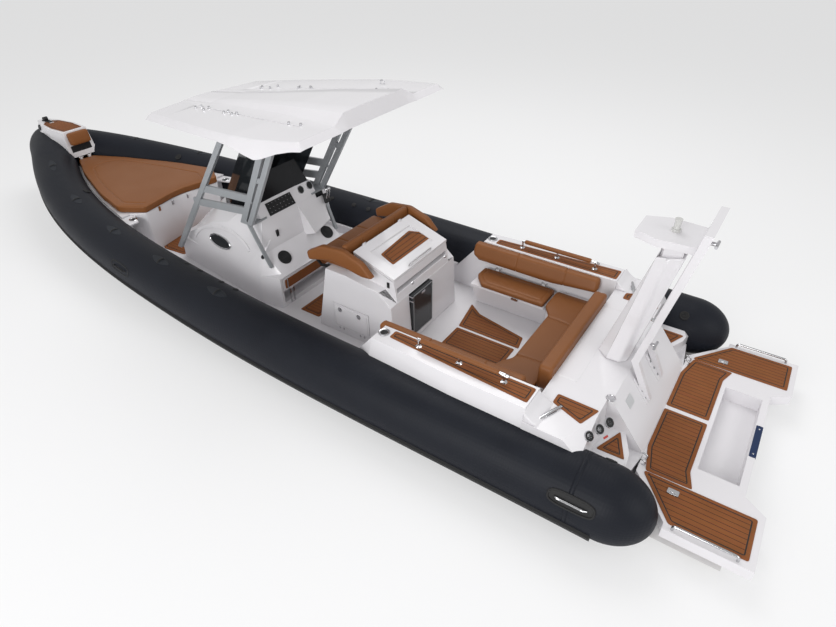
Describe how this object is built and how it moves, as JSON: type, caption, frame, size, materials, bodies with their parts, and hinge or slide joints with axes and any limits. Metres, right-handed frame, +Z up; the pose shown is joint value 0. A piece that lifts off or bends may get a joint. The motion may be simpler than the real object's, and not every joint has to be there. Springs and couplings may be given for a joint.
{
  "type": "rigid inflatable boat",
  "caption": "Rigid inflatable boat with a deep-V hull, air-filled collar, console under a hardtop, leaning post, aft sofa, bow sunpad and raked tow mast",
  "frame": {"origin": "at the waterline, on the centreline amidships", "axes": "+X forward to the bow, +Y to port, +Z up"},
  "size_m": [11.5376, 3.4722, 3.23],
  "materials": {
    "tube_fabric": "satin coated fabric",
    "strake_rubber": "matte",
    "gelcoat": "glossy moulding",
    "upholstery": "grained",
    "deck_foam": "grooved foam",
    "pad_foam": "matte",
    "frame_metal": "satin",
    "polished": "polished",
    "light_shell": "glossy",
    "fridge_front": "brushed",
    "clear": "tinted",
    "screen": "dark",
    "black_trim": "matte"
  },
  "bodies": {
    "boat": {"tube_port": "tube_fabric", "tube_starboard": "tube_fabric", "strake_port": "strake_rubber", "strake_starboard": "strake_rubber", "hull": "gelcoat", "cockpit_floor": "gelcoat", "bow_locker": "gelcoat", "bow_step": "gelcoat", "bow_step_teak": "deck_foam", "bow_backrest": "upholstery", "bow_fittings": "polished", "aft_deck": "gelcoat", "sofa_base": "gelcoat", "sofa_seat": "upholstery", "sofa_backrest": "upholstery", "side_bolster_port": "upholstery", "side_bolster_starboard": "upholstery", "fold_box": "gelcoat", "swim_platform": "gelcoat", "platform_teak": "deck_foam", "engine_pad": "pad_foam", "platform_rails": "polished", "mast_frame": "frame_metal", "mast_fairing": "gelcoat", "mast_shelf": "frame_metal", "anchor_light": "light_shell", "tow_bollards": "polished", "post_body": "gelcoat", "fridge_body": "gelcoat", "helm_seat": "upholstery", "helm_back": "upholstery", "seat_brackets": "polished", "console": "gelcoat", "windscreen": "clear", "dash_screen": "screen", "speakers": "black_trim", "portlights": "black_trim", "dash_panels": "black_trim", "hinges": "polished", "hardtop": "gelcoat", "deck_teak": "deck_foam", "floor_teak": "deck_foam", "hand_rails": "polished", "coaming_port": "gelcoat", "coaming_starboard": "gelcoat", "liner_port": "gelcoat", "liner_starboard": "gelcoat", "helm_bolster_port": "upholstery", "helm_bolster_starboard": "upholstery", "top_frame_port": "frame_metal", "top_frame_starboard": "frame_metal"},
    "lid": {"post_lid": "gelcoat", "lid_handle": "polished"},
    "fridge_door": {"fridge_door": "fridge_front"},
    "side_hatch": {"post_hatch": "gelcoat"},
    "footrest": {"footrest": "gelcoat"},
    "folding_seat": {"fold_seat": "gelcoat", "fold_cushion": "upholstery"},
    "bow_lid": {"bow_lid": "gelcoat", "sunpad": "upholstery"}
  },
  "joints": [
    {"name": "lid_hinge", "type": "hinge", "parent": "boat", "child": "lid", "pos_m": [-1.394, 0, 1.192], "axis": [0, 1, 0], "range_deg": [0, 75]},
    {"name": "fridge_hinge", "type": "hinge", "parent": "boat", "child": "fridge_door", "pos_m": [-2.016, 0.306, 0.445], "axis": [0, 0, -1], "range_deg": [0, 100]},
    {"name": "hatch_hinge", "type": "hinge", "parent": "boat", "child": "side_hatch", "pos_m": [-1.395, 0.645, 0.19], "axis": [-1, 0, 0], "range_deg": [0, 90]},
    {"name": "footrest_hinge", "type": "hinge", "parent": "boat", "child": "footrest", "pos_m": [-0.32, 0, 0.32], "axis": [0, -1, 0], "range_deg": [0, 90]},
    {"name": "seat_hinge", "type": "hinge", "parent": "boat", "child": "folding_seat", "pos_m": [-2.695, -0.957, 0.532], "axis": [1, 0, 0], "range_deg": [0, 40]},
    {"name": "bow_hinge", "type": "hinge", "parent": "boat", "child": "bow_lid", "pos_m": [4.645, 0, 0.825], "axis": [0, 1, 0], "range_deg": [0, 50]}
  ]
}
